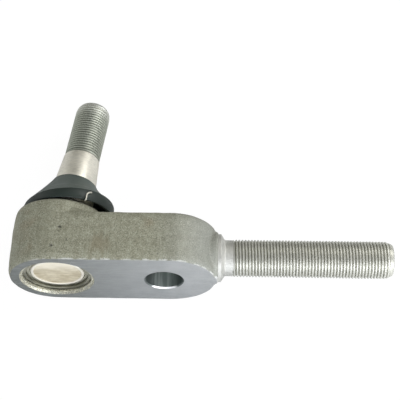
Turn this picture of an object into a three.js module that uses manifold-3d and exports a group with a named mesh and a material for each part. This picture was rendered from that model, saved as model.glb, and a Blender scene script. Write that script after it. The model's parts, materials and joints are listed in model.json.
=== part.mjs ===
// Ball joint rod end for a tractor steering linkage: a forged eye with an integral
// threaded shank, a tapered ball stud, its bearings, cover and rubber boot.
// Millimetres. Everything is laid out round the ball's centre:
//   +X runs along the threaded shank, +Y along the socket's axis (the stud's side),
//   +Z points up, with the forging lying on its long lower side.
// The finished assembly is then moved so that the origin is the middle of the
// footprint that it stands on.
import * as THREE from "three";
import { mergeVertices } from "three/addons/utils/BufferGeometryUtils.js";
import Module from "manifold-3d";

const wasm = await Module();
wasm.setup();

// ---------------------------------------------------------------- driving dimensions

const GAP = 0.3; // clearance left between pieces that touch on the real object

// Forging: a flat arm with round ends, its side full in the middle and drafted at both faces.
const ARM_HALF_WIDTH = 30.3;
const ARM_FACE_HALF_WIDTH = 28.9; // at the machined face
const ARM_BACK_HALF_WIDTH = 28.4; // at the stud's side
const FACE_Y = -24; // machined face, where the socket is closed
const ARM_BACK_Y = 10; // back of the arm
const ARM_SIDE_Y = [-20.5, 8]; // stretch over which the side is full width
const EYE_END_X = -0.8; // centre of the round end at the eye
const SHANK_END_X = 72; // centre of the round end at the shank
const BOSS_TOP_Y = 19.5; // annular top of the eye, under the boot
const CROSS_HOLE = { x: 68.5, radius: 12, chamfer: 0.7 };

// Threaded shank, close to the arm's mid plane, growing out of a round forged root.
const SHANK = {
  y: -7.6,
  rootRadius: 17,
  rootEnd: 102.6,
  collarRadius: 15.5,
  collarEnd: 104.6,
  neckStart: 106.6,
  neckRadius: 11.6,
  threadStart: 112.5,
  threadRadius: 12, // M24 x 2
  threadEnd: 209.6,
  end: 214.6,
  endRadius: 9.9,
};

// Ball stud. Distances are measured along its axis from the ball's centre.
const BALL_RADIUS = 18;
const STUD = {
  neckRadius: 10,
  neckEnd: 28,
  taperStart: 34,
  taperPerLength: 1 / 12, // radius lost per length: a 1 in 6 taper
  taperEnd: 69,
  taperEndRadius: 12.3,
  threadRadius: 12, // M24 x 2
  threadEnd: 108.9,
  end: 114.5,
};
const STUD_YAW = 7; // degrees that the stud leans towards the shank
const STUD_DROOP = 5; // degrees that it hangs below level

// Socket, bored from the machined face.
const SEAT_RADIUS = BALL_RADIUS + GAP;
const BORE_RADIUS = 22;
const SHOULDER_Y = 9; // end of the bore, where the upper seat stops
const MOUTH_RADIUS = [16.3, 21.4]; // at the shoulder and at the boss top
const GROOVE = { radius: 23.6, y: [-21.4, -19.2] };

// Boot. The top edge of its lip leans, so that the lip is taller on the shank's side.
const LIP = { x: 3.8, y: 20.4, radius: 29.8, height: 6, lean: 4.2, wall: 3.2 };
const BOOT_TOP = 46.6; // along the stud
const NECK_RING = { from: 39.6, to: 42, inner: 15.2, outer: 16.2 };
const WIRE = { radius: 0.5, ringRadius: 28.1, tailAngle: 61.5 };

const SEGMENTS = 48; // facets round the large turned pieces
const SMALL_SEGMENTS = 40; // and round the smaller ones
const WIRE_SIDES = 8;

// ---------------------------------------------------------------- geometry helpers

// Turns an outline of [radius, height] points about the Y axis. The outline either
// starts and ends on the axis or closes on itself.
function turned(outline, segments = SEGMENTS) {
  const onAxis = outline[0][0] === 0;
  const loop = onAxis ? outline : [...outline, outline[0]];
  let area = 0;
  loop.forEach(([r, y], i) => {
    const [nextR, nextY] = loop[(i + 1) % loop.length];
    area += r * nextY - nextR * y;
  });
  const ordered = area > 0 ? loop : [...loop].reverse();
  const points = ordered.map(([r, y]) => new THREE.Vector2(r, y));
  return new THREE.LatheGeometry(points, segments);
}

// Points of an arc of [radius, height], angles in degrees from the radial direction.
function arc(centreR, centreY, radius, from, to, steps) {
  const points = [];
  for (let i = 0; i <= steps; i += 1) {
    const angle = THREE.MathUtils.degToRad(from + ((to - from) * i) / steps);
    points.push([centreR + radius * Math.cos(angle), centreY + radius * Math.sin(angle)]);
  }
  return points;
}

function solid(geometry) {
  const bare = geometry.clone();
  bare.deleteAttribute("normal");
  bare.deleteAttribute("uv");
  const merged = mergeVertices(bare, 1e-4);
  return new wasm.Manifold(
    new wasm.Mesh({
      numProp: 3,
      vertProperties: new Float32Array(merged.attributes.position.array),
      triVerts: new Uint32Array(merged.index.array),
    }),
  );
}

function geometryOf(manifold) {
  const { vertProperties, triVerts } = manifold.getMesh();
  const geometry = new THREE.BufferGeometry();
  geometry.setAttribute("position", new THREE.BufferAttribute(vertProperties, 3));
  geometry.setIndex(new THREE.BufferAttribute(triVerts, 1));
  return geometry.toNonIndexed();
}

function mesh(name, geometry, colour, roughness, metalness) {
  geometry.computeVertexNormals();
  const material = new THREE.MeshStandardMaterial({ color: colour, roughness, metalness });
  const made = new THREE.Mesh(geometry, material);
  made.name = name;
  return made;
}

// A closed skin through a loop of rings, each { centre, axis, radius }.
function loft(rings, segments = SEGMENTS) {
  const positions = [];
  for (const { centre, axis, radius } of rings) {
    const across = new THREE.Vector3(1, 0, 0).addScaledVector(axis, -axis.x).normalize();
    const up = new THREE.Vector3().crossVectors(across, axis);
    for (let j = 0; j < segments; j += 1) {
      const angle = (2 * Math.PI * j) / segments;
      const point = centre
        .clone()
        .addScaledVector(across, radius * Math.cos(angle))
        .addScaledVector(up, radius * Math.sin(angle));
      positions.push(point.x, point.y, point.z);
    }
  }
  const faces = [];
  for (let i = 0; i < rings.length; i += 1) {
    const next = (i + 1) % rings.length;
    for (let j = 0; j < segments; j += 1) {
      const k = (j + 1) % segments;
      const [a, b] = [i * segments + j, i * segments + k];
      const [c, d] = [next * segments + j, next * segments + k];
      faces.push(a, c, b, b, c, d);
    }
  }
  const geometry = new THREE.BufferGeometry();
  geometry.setAttribute("position", new THREE.Float32BufferAttribute(positions, 3));
  geometry.setIndex(faces);
  return geometry;
}

// A round wire along a curve.
function wireAlong(curve, radius, steps) {
  const section = new THREE.Shape();
  for (let i = 0; i < WIRE_SIDES; i += 1) {
    const angle = (2 * Math.PI * i) / WIRE_SIDES;
    const [x, y] = [radius * Math.cos(angle), radius * Math.sin(angle)];
    if (i === 0) section.moveTo(x, y);
    else section.lineTo(x, y);
  }
  section.closePath();
  return new THREE.ExtrudeGeometry(section, { extrudePath: curve, steps, bevelEnabled: false });
}

// ---------------------------------------------------------------- forged housing

// Half of the arm's cross-section, as [half width, Y].
const ARM_SIDE = [
  [ARM_FACE_HALF_WIDTH, FACE_Y],
  [ARM_HALF_WIDTH, ARM_SIDE_Y[0]],
  [ARM_HALF_WIDTH, ARM_SIDE_Y[1]],
  [ARM_BACK_HALF_WIDTH, ARM_BACK_Y],
];

// The whole cross-section swept straight along X.
function armBar(side, fromX, toX) {
  const shape = new THREE.Shape();
  shape.moveTo(-side[0][0], side[0][1]);
  for (const [w, y] of side) shape.lineTo(w, y);
  for (const [w, y] of [...side].reverse()) shape.lineTo(-w, y);
  const bar = new THREE.ExtrudeGeometry(shape, { depth: toX - fromX, bevelEnabled: false });
  return bar.rotateY(Math.PI / 2).translate(fromX, 0, 0);
}

// A bar with a turned end of the same section at each end.
function roundEnded(side, fromX, toX) {
  const [low, high] = [side[0][1], side[side.length - 1][1]];
  const end = turned([[0, low], ...side, [0, high]]);
  return solid(armBar(side, fromX, toX))
    .add(solid(end.clone().translate(fromX, 0, 0)))
    .add(solid(end.clone().translate(toX, 0, 0)));
}

// The raised eye round the ball, slightly barrelled, with a rounded top edge.
function eyeBoss() {
  const top = arc(26.2, BOSS_TOP_Y - 1.8, 1.8, 20, 90, 3);
  const side = [
    [ARM_HALF_WIDTH, 5],
    [30, 10],
    [29.1, 15],
  ];
  return solid(turned([[0, 5], ...side, ...top, [0, BOSS_TOP_Y]]).translate(EYE_END_X, 0, 0));
}

// The concave blend between the eye's side and the back of the arm.
function eyeBlend() {
  const fillet = arc(36, ARM_BACK_Y + 7, 7, 270, 205, 4);
  const edgeY = fillet[fillet.length - 1][1];
  const foot = [
    [0, ARM_BACK_Y - 1],
    [36, ARM_BACK_Y - 1],
  ];
  const skirt = turned([...foot, ...fillet, [0, edgeY]]);
  const inside = [
    [ARM_BACK_HALF_WIDTH - 0.2, ARM_BACK_Y - 2],
    [ARM_BACK_HALF_WIDTH - 0.6, edgeY + 1],
  ];
  return solid(skirt).intersect(roundEnded(inside, EYE_END_X, SHANK_END_X));
}

// Forged root of the shank, growing out of the arm's round end, level with both its faces.
function shankRoot() {
  const outline = [
    [0, SHANK_END_X],
    [SHANK.rootRadius + 3, SHANK_END_X],
    [SHANK.rootRadius + 1, SHANK.rootEnd - 5],
    [SHANK.rootRadius, SHANK.rootEnd - 0.6],
    [SHANK.rootRadius - 0.6, SHANK.rootEnd],
    [0, SHANK.rootEnd],
  ];
  const root = turned(outline).rotateZ(-Math.PI / 2).translate(0, SHANK.y, 0);
  const length = SHANK.rootEnd - SHANK_END_X;
  const thickness = ARM_BACK_Y - FACE_Y;
  const between = new THREE.BoxGeometry(2 * length, thickness, 2 * ARM_HALF_WIDTH).translate(
    SHANK.rootEnd,
    FACE_Y + thickness / 2,
    0,
  );
  return solid(root).intersect(solid(between));
}

// The turned part of the shank.
function shankBar() {
  const outline = [
    [0, SHANK_END_X],
    [SHANK.collarRadius, SHANK_END_X],
    [SHANK.collarRadius, SHANK.collarEnd],
    [SHANK.neckRadius + 0.6, SHANK.neckStart],
    [SHANK.neckRadius, SHANK.neckStart + 0.6],
    [SHANK.neckRadius, SHANK.threadStart],
    [SHANK.threadRadius, SHANK.threadStart + 0.4],
    [SHANK.threadRadius, SHANK.threadEnd],
    [SHANK.endRadius + 0.7, SHANK.end - 0.7],
    [SHANK.endRadius, SHANK.end],
    [0, SHANK.end],
  ];
  return solid(turned(outline, SMALL_SEGMENTS).rotateZ(-Math.PI / 2).translate(0, SHANK.y, 0));
}

// The socket: countersunk mouth, bore with its ring groove, and flared way out for the stud.
function socketCut() {
  return solid(
    turned([
      [0, FACE_Y - 1],
      [24.8, FACE_Y - 1],
      [22.9, FACE_Y + 1.5],
      [BORE_RADIUS, FACE_Y + 1.5],
      [BORE_RADIUS, GROOVE.y[0]],
      [GROOVE.radius, GROOVE.y[0]],
      [GROOVE.radius, GROOVE.y[1]],
      [BORE_RADIUS, GROOVE.y[1]],
      [BORE_RADIUS, SHOULDER_Y],
      [MOUTH_RADIUS[0], SHOULDER_Y],
      [MOUTH_RADIUS[0], SHOULDER_Y + 1.2],
      [MOUTH_RADIUS[1], BOSS_TOP_Y],
      [MOUTH_RADIUS[1] + 0.5, BOSS_TOP_Y + 1],
      [0, BOSS_TOP_Y + 1],
    ]),
  );
}

function crossHoleCut() {
  const { x, radius, chamfer } = CROSS_HOLE;
  const outline = [
    [0, FACE_Y - 1],
    [radius + chamfer + 1, FACE_Y - 1],
    [radius, FACE_Y + chamfer],
    [radius, ARM_BACK_Y - chamfer],
    [radius + chamfer + 1, ARM_BACK_Y + 1],
    [0, ARM_BACK_Y + 1],
  ];
  return solid(turned(outline, SMALL_SEGMENTS).translate(x, 0, 0));
}

const housingSolid = roundEnded(ARM_SIDE, EYE_END_X, SHANK_END_X)
  .add(eyeBoss())
  .add(eyeBlend())
  .add(shankRoot())
  .add(shankBar())
  .subtract(socketCut())
  .subtract(crossHoleCut());
const housing = mesh("housing", geometryOf(housingSolid), 0x8d8f84, 0.65, 0.6);

// ---------------------------------------------------------------- inside the socket

// Latitude of the seat's sphere at a given height, in degrees.
function latitude(y) {
  return THREE.MathUtils.radToDeg(Math.asin(y / SEAT_RADIUS));
}

// A ring between two heights, spherical inside and cylindrical outside.
function ballSeat(lowY, highY) {
  const outer = BORE_RADIUS - GAP;
  const sphere = arc(0, 0, SEAT_RADIUS, latitude(highY), latitude(lowY), 5);
  return turned([[outer, lowY], [outer, highY], ...sphere], SMALL_SEGMENTS);
}

const UPPER_SEAT_Y = [-0.4, SHOULDER_Y - GAP];
const LOWER_SEAT_Y = [-11, -1.4];
const upperSeat = mesh("upper_bearing_seat", ballSeat(...UPPER_SEAT_Y), 0x9a9a92, 0.45, 0.8);
const lowerSeat = mesh("lower_bearing_seat", ballSeat(...LOWER_SEAT_Y), 0x9a9a92, 0.45, 0.8);

// Disc spring that presses the lower seat against the ball.
const SPRING = { inner: 15.2, outer: 21.2, thickness: 1.5, rise: 1.5 };
const springTop = LOWER_SEAT_Y[0] - GAP;
const springBottom = springTop - SPRING.thickness - SPRING.rise;
const springOutline = [
  [SPRING.outer, springTop],
  [SPRING.outer, springTop - SPRING.thickness],
  [SPRING.inner, springBottom],
  [SPRING.inner, springBottom + SPRING.thickness],
];
const discSpring = mesh(
  "preload_disc_spring",
  turned(springOutline, SMALL_SEGMENTS),
  0x55585a,
  0.35,
  0.9,
);

// Pressed cover with a dished face and a groove for its sealing ring.
const COVER = {
  top: springBottom - GAP,
  flangeBottom: GROOVE.y[1],
  face: -20.2,
  hollowRadius: 14.8,
  hollowFloor: -18.3,
  rimRadius: 17.3,
  dishRadius: 15.2,
  dishDepth: 0.6,
  sealGroove: [20.1, -17.9, -15.9],
};
const coverEdge = BORE_RADIUS - GAP;
const [sealGrooveRadius, sealGrooveLow, sealGrooveHigh] = COVER.sealGroove;
const coverOutline = [
  [0, COVER.hollowFloor],
  [COVER.hollowRadius, COVER.hollowFloor],
  [COVER.hollowRadius, COVER.top],
  [coverEdge, COVER.top],
  [coverEdge, sealGrooveHigh],
  [sealGrooveRadius, sealGrooveHigh],
  [sealGrooveRadius, sealGrooveLow],
  [coverEdge, sealGrooveLow],
  [coverEdge, COVER.flangeBottom],
  [COVER.rimRadius, COVER.flangeBottom],
  [COVER.rimRadius, COVER.face + 0.5],
  [COVER.rimRadius - 0.5, COVER.face],
  [COVER.dishRadius + 0.8, COVER.face],
  [COVER.dishRadius, COVER.face + COVER.dishDepth],
  [0, COVER.face + COVER.dishDepth],
];
const cover = mesh("closing_cover", turned(coverOutline, SMALL_SEGMENTS), 0xb9ab93, 0.45, 0.6);

const sealMiddle = (sealGrooveLow + sealGrooveHigh) / 2;
const SEAL = { middleRadius: 20.95, radius: 0.6 };
const coverSeal = mesh(
  "cover_seal_ring",
  turned(arc(SEAL.middleRadius, sealMiddle, SEAL.radius, 0, 300, 5), SMALL_SEGMENTS),
  0x1c1e1d,
  0.8,
  0,
);

// Open retaining ring in its groove.
const RING = { inner: 19.7, outer: 23.2, thickness: 1.5, mouth: 7 };
function retainingRingSolid() {
  const low = GROOVE.y[0] + GAP;
  const section = [
    [RING.inner, low],
    [RING.outer, low],
    [RING.outer, low + RING.thickness],
    [RING.inner, low + RING.thickness],
  ];
  const full = turned(section, SMALL_SEGMENTS);
  const mouth = new THREE.BoxGeometry(RING.mouth, 4, 8).translate(0, low, RING.outer);
  return solid(full).subtract(solid(mouth));
}
const retainingRing = mesh("retaining_ring", geometryOf(retainingRingSolid()), 0x3c4244, 0.4, 0.9);

// ---------------------------------------------------------------- ball stud

function taperRadius(along) {
  return STUD.taperEndRadius + (STUD.taperEnd - along) * STUD.taperPerLength;
}

function ballStudGeometry() {
  const neckAngle = THREE.MathUtils.radToDeg(Math.acos(STUD.neckRadius / BALL_RADIUS));
  const ball = arc(0, 0, BALL_RADIUS, -90, neckAngle, 12);
  const end = arc(STUD.threadRadius - 6, STUD.end - 5.6, 5.8, 15, 75, 4);
  return turned([
    [0, -BALL_RADIUS],
    ...ball.slice(1),
    [STUD.neckRadius, STUD.neckEnd],
    [taperRadius(STUD.taperStart) - 1.6, STUD.taperStart - 1.6],
    [taperRadius(STUD.taperStart), STUD.taperStart],
    [STUD.taperEndRadius, STUD.taperEnd],
    [STUD.threadRadius, STUD.taperEnd + 0.5],
    [STUD.threadRadius, STUD.threadEnd],
    ...end,
    [6, STUD.end],
    [0, STUD.end],
  ]);
}
const ballStud = mesh("ball_stud", ballStudGeometry(), 0xa8a79d, 0.4, 0.85);

// Steel insert that grips the taper inside the boot's neck.
const neckRingOutline = [
  [NECK_RING.inner, NECK_RING.from],
  [NECK_RING.outer, NECK_RING.from],
  [NECK_RING.outer, NECK_RING.to],
  [NECK_RING.inner, NECK_RING.to],
];
const neckRing = mesh("boot_neck_ring", turned(neckRingOutline, SMALL_SEGMENTS), 0x6d7072, 0.4, 0.9);

// ---------------------------------------------------------------- boot and its lip wire

const yaw = THREE.MathUtils.degToRad(-STUD_YAW);
const droop = THREE.MathUtils.degToRad(-STUD_DROOP);
const SOCKET_AXIS = new THREE.Vector3(0, 1, 0);
const ACROSS = new THREE.Vector3(1, 0, 0);
const UPRIGHT = new THREE.Vector3(0, 0, 1);
const STUD_AXIS = SOCKET_AXIS.clone().applyAxisAngle(ACROSS, droop).applyAxisAngle(UPRIGHT, yaw);
const LIP_TOP_AXIS = SOCKET_AXIS.clone().applyAxisAngle(UPRIGHT, THREE.MathUtils.degToRad(LIP.lean));

function lipRing(y, radius, axis = SOCKET_AXIS) {
  return { centre: new THREE.Vector3(LIP.x, y, 0), axis, radius };
}

function studRing(along, radius) {
  return { centre: STUD_AXIS.clone().multiplyScalar(along), axis: STUD_AXIS, radius };
}

// The lip slides on the eye's top, so it stays square to the socket, while the
// neck stays square to the stud.
function bootGeometry() {
  const ringSpace = NECK_RING.outer + 0.35;
  const lipInner = LIP.radius - LIP.wall;
  const slot = WIRE.radius + GAP;
  return loft([
    lipRing(LIP.y, LIP.radius - 0.2),
    lipRing(LIP.y + 0.3, LIP.radius),
    lipRing(LIP.y + LIP.height - 0.4, LIP.radius, LIP_TOP_AXIS),
    lipRing(LIP.y + LIP.height, LIP.radius - 0.5, LIP_TOP_AXIS),
    studRing(BOOT_TOP - 1, 15.5),
    studRing(BOOT_TOP, 14.95),
    studRing(BOOT_TOP, taperRadius(BOOT_TOP) + 0.35),
    studRing(NECK_RING.to + 0.7, taperRadius(NECK_RING.to) + 0.4),
    studRing(NECK_RING.to + 0.35, ringSpace),
    studRing(NECK_RING.from - 0.35, ringSpace),
    studRing(NECK_RING.from - 0.7, taperRadius(NECK_RING.from) + 0.5),
    studRing(NECK_RING.from - 1.9, taperRadius(NECK_RING.from) + 0.8),
    lipRing(LIP.y + LIP.height - 1, lipInner - 0.8, LIP_TOP_AXIS),
    lipRing(LIP.y + LIP.height - 2, lipInner, LIP_TOP_AXIS),
    lipRing(LIP.y, lipInner),
    lipRing(LIP.y, WIRE.ringRadius - slot),
    lipRing(LIP.y + 2 * slot, WIRE.ringRadius - slot),
    lipRing(LIP.y + 2 * slot, WIRE.ringRadius + slot),
    lipRing(LIP.y, WIRE.ringRadius + slot),
  ]);
}
const boot = mesh("dust_boot", bootGeometry(), 0x3c4745, 0.6, 0);

function wirePoint(radius, y, degrees) {
  const angle = THREE.MathUtils.degToRad(degrees);
  return new THREE.Vector3(LIP.x + radius * Math.cos(angle), y, radius * Math.sin(angle));
}

// Spring wire ring in the slot under the lip; its free end comes out and curls up outside.
function lipWireSolid() {
  const ringY = LIP.y + WIRE.radius + GAP;
  const section = arc(WIRE.ringRadius, ringY, WIRE.radius, 22.5, 337.5, 7);
  const ring = turned(section, SMALL_SEGMENTS).translate(LIP.x, 0, 0);
  const outside = LIP.radius + WIRE.radius;
  const exit = WIRE.tailAngle + 3;
  const tail = new THREE.CatmullRomCurve3([
    wirePoint(WIRE.ringRadius, ringY, exit),
    wirePoint(WIRE.ringRadius + 0.1, LIP.y - 1.3, exit),
    wirePoint(outside + 0.3, LIP.y - 1.4, exit),
    wirePoint(outside + 1, LIP.y + 0.6, exit),
    wirePoint(outside + 0.6, LIP.y + 3, exit),
    wirePoint(outside + 0.6, LIP.y + 5, WIRE.tailAngle),
    wirePoint(outside + 0.4, LIP.y + 6, WIRE.tailAngle - 5),
  ]);
  return solid(ring).add(solid(wireAlong(tail, WIRE.radius, 20)));
}
const lipWire = mesh("boot_lip_wire", geometryOf(lipWireSolid()), 0xc9c4b4, 0.4, 0.8);

// ---------------------------------------------------------------- assembly

// The stud and the ring on its taper share the stud's two tilts.
const tilted = new THREE.Group();
tilted.rotation.x = droop;
tilted.add(ballStud, neckRing);
const swung = new THREE.Group();
swung.rotation.z = yaw;
swung.add(tilted);

const assembly = new THREE.Group();
assembly.add(housing, upperSeat, lowerSeat, discSpring, cover, coverSeal, retainingRing);
assembly.add(boot, lipWire, swung);

assembly.updateMatrixWorld(true);
const bounds = new THREE.Box3().setFromObject(assembly, true);
const middle = bounds.getCenter(new THREE.Vector3());
assembly.position.set(-middle.x, -middle.y, -bounds.min.z);

const part = new THREE.Group();
part.add(assembly);

export default part;
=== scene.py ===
"""Looks for the ball joint rod end: a forged eye with a threaded shank, its ball stud,
the pieces inside the socket, and the rubber boot.

Lengths are in millimetres, in the socket's own frame: the ball's centre is the origin, +X
runs along the shank and +Y along the socket's axis, towards the stud. to_row() puts a piece
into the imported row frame, in metres. Only the floor and the lights are given in metres.
"""

import json
import math

import bmesh
import bpy
import numpy as np
from mathutils import Matrix, Vector, noise


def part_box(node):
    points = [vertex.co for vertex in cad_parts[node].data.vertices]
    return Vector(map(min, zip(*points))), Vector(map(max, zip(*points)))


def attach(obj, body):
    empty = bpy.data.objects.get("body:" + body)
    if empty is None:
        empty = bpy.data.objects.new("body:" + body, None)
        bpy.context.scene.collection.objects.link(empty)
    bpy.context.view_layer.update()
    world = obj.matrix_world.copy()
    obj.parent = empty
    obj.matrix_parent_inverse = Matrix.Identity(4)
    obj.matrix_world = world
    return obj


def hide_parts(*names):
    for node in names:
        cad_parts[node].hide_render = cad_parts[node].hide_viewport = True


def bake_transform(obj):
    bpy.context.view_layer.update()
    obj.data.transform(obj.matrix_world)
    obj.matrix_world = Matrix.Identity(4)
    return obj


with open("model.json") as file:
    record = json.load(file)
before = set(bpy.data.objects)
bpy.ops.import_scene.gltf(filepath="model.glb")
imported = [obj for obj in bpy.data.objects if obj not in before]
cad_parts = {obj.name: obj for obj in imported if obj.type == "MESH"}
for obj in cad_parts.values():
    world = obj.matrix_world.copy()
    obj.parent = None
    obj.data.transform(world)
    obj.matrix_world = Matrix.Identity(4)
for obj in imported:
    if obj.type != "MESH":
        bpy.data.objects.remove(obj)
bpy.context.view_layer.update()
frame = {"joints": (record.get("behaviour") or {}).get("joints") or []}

MM = 0.001
JOINTS = {joint["name"]: joint for joint in frame["joints"]}
BALL = Vector(JOINTS["stud_spin"]["pos_m"])
STUD_AXIS = Vector(JOINTS["stud_spin"]["axis"]).normalized()
SOCKET_AXIS = Vector((0, 1, 0))
SHANK_AXIS = Vector((1, 0, 0))


def span(node, axis):
    """A CAD node's lowest and highest value along one axis, in mm from the ball."""
    low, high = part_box(node)
    return (low[axis] - BALL[axis]) / MM, (high[axis] - BALL[axis]) / MM


HALF_WIDTH = span("housing", 2)[1]  # the arm's half width, and its round ends' radius
SHANK_END = span("housing", 0)[1]
FACE_Y, BOSS_TOP_Y = span("housing", 1)
EYE_END_X = span("housing", 0)[0] + HALF_WIDTH
SHANK_END_X = 72.0
ARM_BACK_Y = 10.0
SOCKET_RADIUS = 22.0
SEAT_RADIUS = 18.3  # of the hollow in both bearing seats
HOLE_X, HOLE_RADIUS = 68.5, 12.0

SHANK_Y = -7.6
TAPER_END, TAPER_END_RADIUS = 69.0, 12.3  # along the stud, where its thread starts
THREAD_CREST = 12.0
THREAD_PITCH = 2.0
THREAD_DEPTH = 1.0

LIP_X = 3.8
LIP_Y = span("dust_boot", 1)[0]
LIP_TOP = LIP_Y + 6.0
LIP_TOP_AXIS = Matrix.Rotation(math.radians(4.2), 3, "Z") @ SOCKET_AXIS
LIP_RADIUS = span("dust_boot", 2)[1]
INNER_LIP = LIP_RADIUS - 3.0
BOOT_TOP = 46.6  # along the stud
WALL = 1.7  # of the boot's cone

SEGMENTS = 128  # facets round a turned piece
THREAD_SEGMENTS = 96  # and round a threaded one
TAU = 2 * math.pi


# ---------------------------------------------------------------- mesh helpers


def rotation_to(axis, origin_mm=(0, 0, 0)):
    """Takes a piece turned about +Y to one turned about axis, at a point of the socket's frame."""
    turn = SOCKET_AXIS.rotation_difference(axis).to_matrix().to_4x4()
    return Matrix.Translation(Vector(origin_mm)) @ turn


def to_row():
    return Matrix.Translation(BALL) @ Matrix.Scale(MM, 4)


def make(name, points, faces, transform=None):
    """A mesh object from points in mm, moved into the row frame."""
    mesh = bpy.data.meshes.new(name)
    mesh.from_pydata([tuple(map(float, p)) for p in points], [], faces)
    work = bmesh.new()
    work.from_mesh(mesh)
    bmesh.ops.remove_doubles(work, verts=work.verts, dist=1e-4)
    bmesh.ops.dissolve_degenerate(work, edges=work.edges, dist=1e-5)
    bmesh.ops.recalc_face_normals(work, faces=work.faces)
    work.to_mesh(mesh)
    work.free()
    obj = bpy.data.objects.new(name, mesh)
    bpy.context.scene.collection.objects.link(obj)
    mesh.transform(to_row() @ (transform or Matrix.Identity(4)))
    return obj


def shade(obj, sharp_degrees=32):
    for polygon in obj.data.polygons:
        polygon.use_smooth = True
    obj.data.set_sharp_from_angle(angle=math.radians(sharp_degrees))


def grid_faces(rows, columns, close_rows=False, close_columns=False):
    """Quads over a grid of points stored row by row."""
    faces = []
    for i in range(rows if close_rows else rows - 1):
        for j in range(columns if close_columns else columns - 1):
            i2, j2 = (i + 1) % rows, (j + 1) % columns
            faces.append(
                (i * columns + j, i * columns + j2, i2 * columns + j2, i2 * columns + j)
            )
    return faces


def softened(outline, radius, closed):
    """An outline of (radius, height) points with each corner rounded."""
    steps = 3
    points = [Vector(p) for p in outline]
    count = len(points)
    result = []
    for i, here in enumerate(points):
        if not closed and i in (0, count - 1):
            result.append(here)
            continue
        before, after = points[i - 1], points[(i + 1) % count]
        back, on = before - here, after - here
        if back.length < 1e-6 or on.length < 1e-6 or back.angle(on) > math.radians(172):
            result.append(here)
            continue
        reach = min(radius, back.length * 0.4, on.length * 0.4)
        start, end = here + back.normalized() * reach, here + on.normalized() * reach
        for k in range(steps + 1):
            t = k / steps
            result.append(start * (1 - t) ** 2 + here * 2 * t * (1 - t) + end * t * t)
    return [tuple(p) for p in result]


def turned(name, outline, closed=True, soften=0.15, transform=None):
    """A piece turned about +Y from (radius, height) points; an open outline ends on the axis."""
    profile = softened(outline, soften, closed)
    points = [
        (r * math.cos(TAU * j / SEGMENTS), y, r * math.sin(TAU * j / SEGMENTS))
        for r, y in profile
        for j in range(SEGMENTS)
    ]
    faces = grid_faces(len(profile), SEGMENTS, close_rows=closed, close_columns=True)
    return make(name, points, faces, transform)


def arc(centre_r, centre_y, radius, start, end, steps):
    """Points of an arc, angles in degrees from the radial direction."""
    angles = [math.radians(start + (end - start) * i / steps) for i in range(steps + 1)]
    return [
        (centre_r + radius * math.cos(a), centre_y + radius * math.sin(a))
        for a in angles
    ]


def profile_radius(profile, y):
    """Radius at a height, along straight lines between (radius, height) points."""
    heights = [p[1] for p in profile]
    return float(np.interp(y, heights, [p[0] for p in profile]))


def threaded_points(start, end, envelope):
    """Columns of points of a single-start thread about +Y, from start to end.

    Every column follows the thread's lead, so each crest and root is a continuous helix.
    envelope is the (radius, height) line that the crests may not stand above."""
    root = THREAD_CREST - THREAD_DEPTH
    form = [
        (0.00, root),
        (0.12, root),
        (0.66, THREAD_CREST - 0.06),
        (0.74, THREAD_CREST),
        (1.26, THREAD_CREST),
        (1.34, THREAD_CREST - 0.06),
        (1.88, root),
    ]
    turns = int((end - start) / THREAD_PITCH) + 3
    rows = []
    for turn in range(turns):
        for offset, radius in form:
            rows.append(((turn - 1) * THREAD_PITCH + offset, radius))
    columns = []
    for j in range(THREAD_SEGMENTS + 1):
        lead = THREAD_PITCH * j / THREAD_SEGMENTS
        column = []
        for base, radius in rows:
            y = min(max(start + base + lead, start), end)
            limit = profile_radius(envelope, y)
            runout = limit if y <= start or y >= end else min(radius, limit)
            column.append((runout, y))
        columns.append(column)
    return columns


def threaded_rod(name, before, after, start, end, envelope, transform):
    """A turned rod with a real thread between start and end; before and after are the
    plain outlines on each side, from and to the axis."""
    columns = threaded_points(start, end, envelope)
    head = softened(before, 0.25, False)
    tail = softened(after, 0.25, False)
    points = []
    rows = len(head) + len(columns[0]) + len(tail)
    for j in range(THREAD_SEGMENTS):
        angle = TAU * j / THREAD_SEGMENTS
        for r, y in [*head, *columns[j], *tail]:
            points.append((r * math.cos(angle), y, -r * math.sin(angle)))
    faces = grid_faces(THREAD_SEGMENTS, rows)
    # the last column meets the first one turn further on
    last, seam = (THREAD_SEGMENTS - 1) * rows, len(points)
    for r, y in [*head, *columns[THREAD_SEGMENTS], *tail]:
        points.append((r, y, 0.0))
    faces += [(last + i, last + i + 1, seam + i + 1, seam + i) for i in range(rows - 1)]
    return make(name, points, faces, transform)


def apply_modifiers(obj):
    evaluated = obj.evaluated_get(bpy.context.evaluated_depsgraph_get())
    mesh = bpy.data.meshes.new_from_object(evaluated)
    obj.modifiers.clear()
    old, obj.data = obj.data, mesh
    bpy.data.meshes.remove(old)


def remove(*objects):
    for obj in objects:
        mesh = obj.data
        bpy.data.objects.remove(obj)
        bpy.data.meshes.remove(mesh)


def cut(obj, cutter, material):
    """Takes cutter out of obj; the new faces carry the cutter's material."""
    cutter.data.materials.clear()
    cutter.data.materials.append(material)
    modifier = obj.modifiers.new("cut", "BOOLEAN")
    modifier.operation = "DIFFERENCE"
    modifier.solver = "EXACT"
    modifier.material_mode = "TRANSFER"
    modifier.object = cutter
    apply_modifiers(obj)
    remove(cutter)


def unevenness(point, scale, seed):
    return noise.noise(Vector(point) / scale + Vector((seed, 3.7 * seed, -1.3 * seed)))


# ---------------------------------------------------------------- materials


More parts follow.
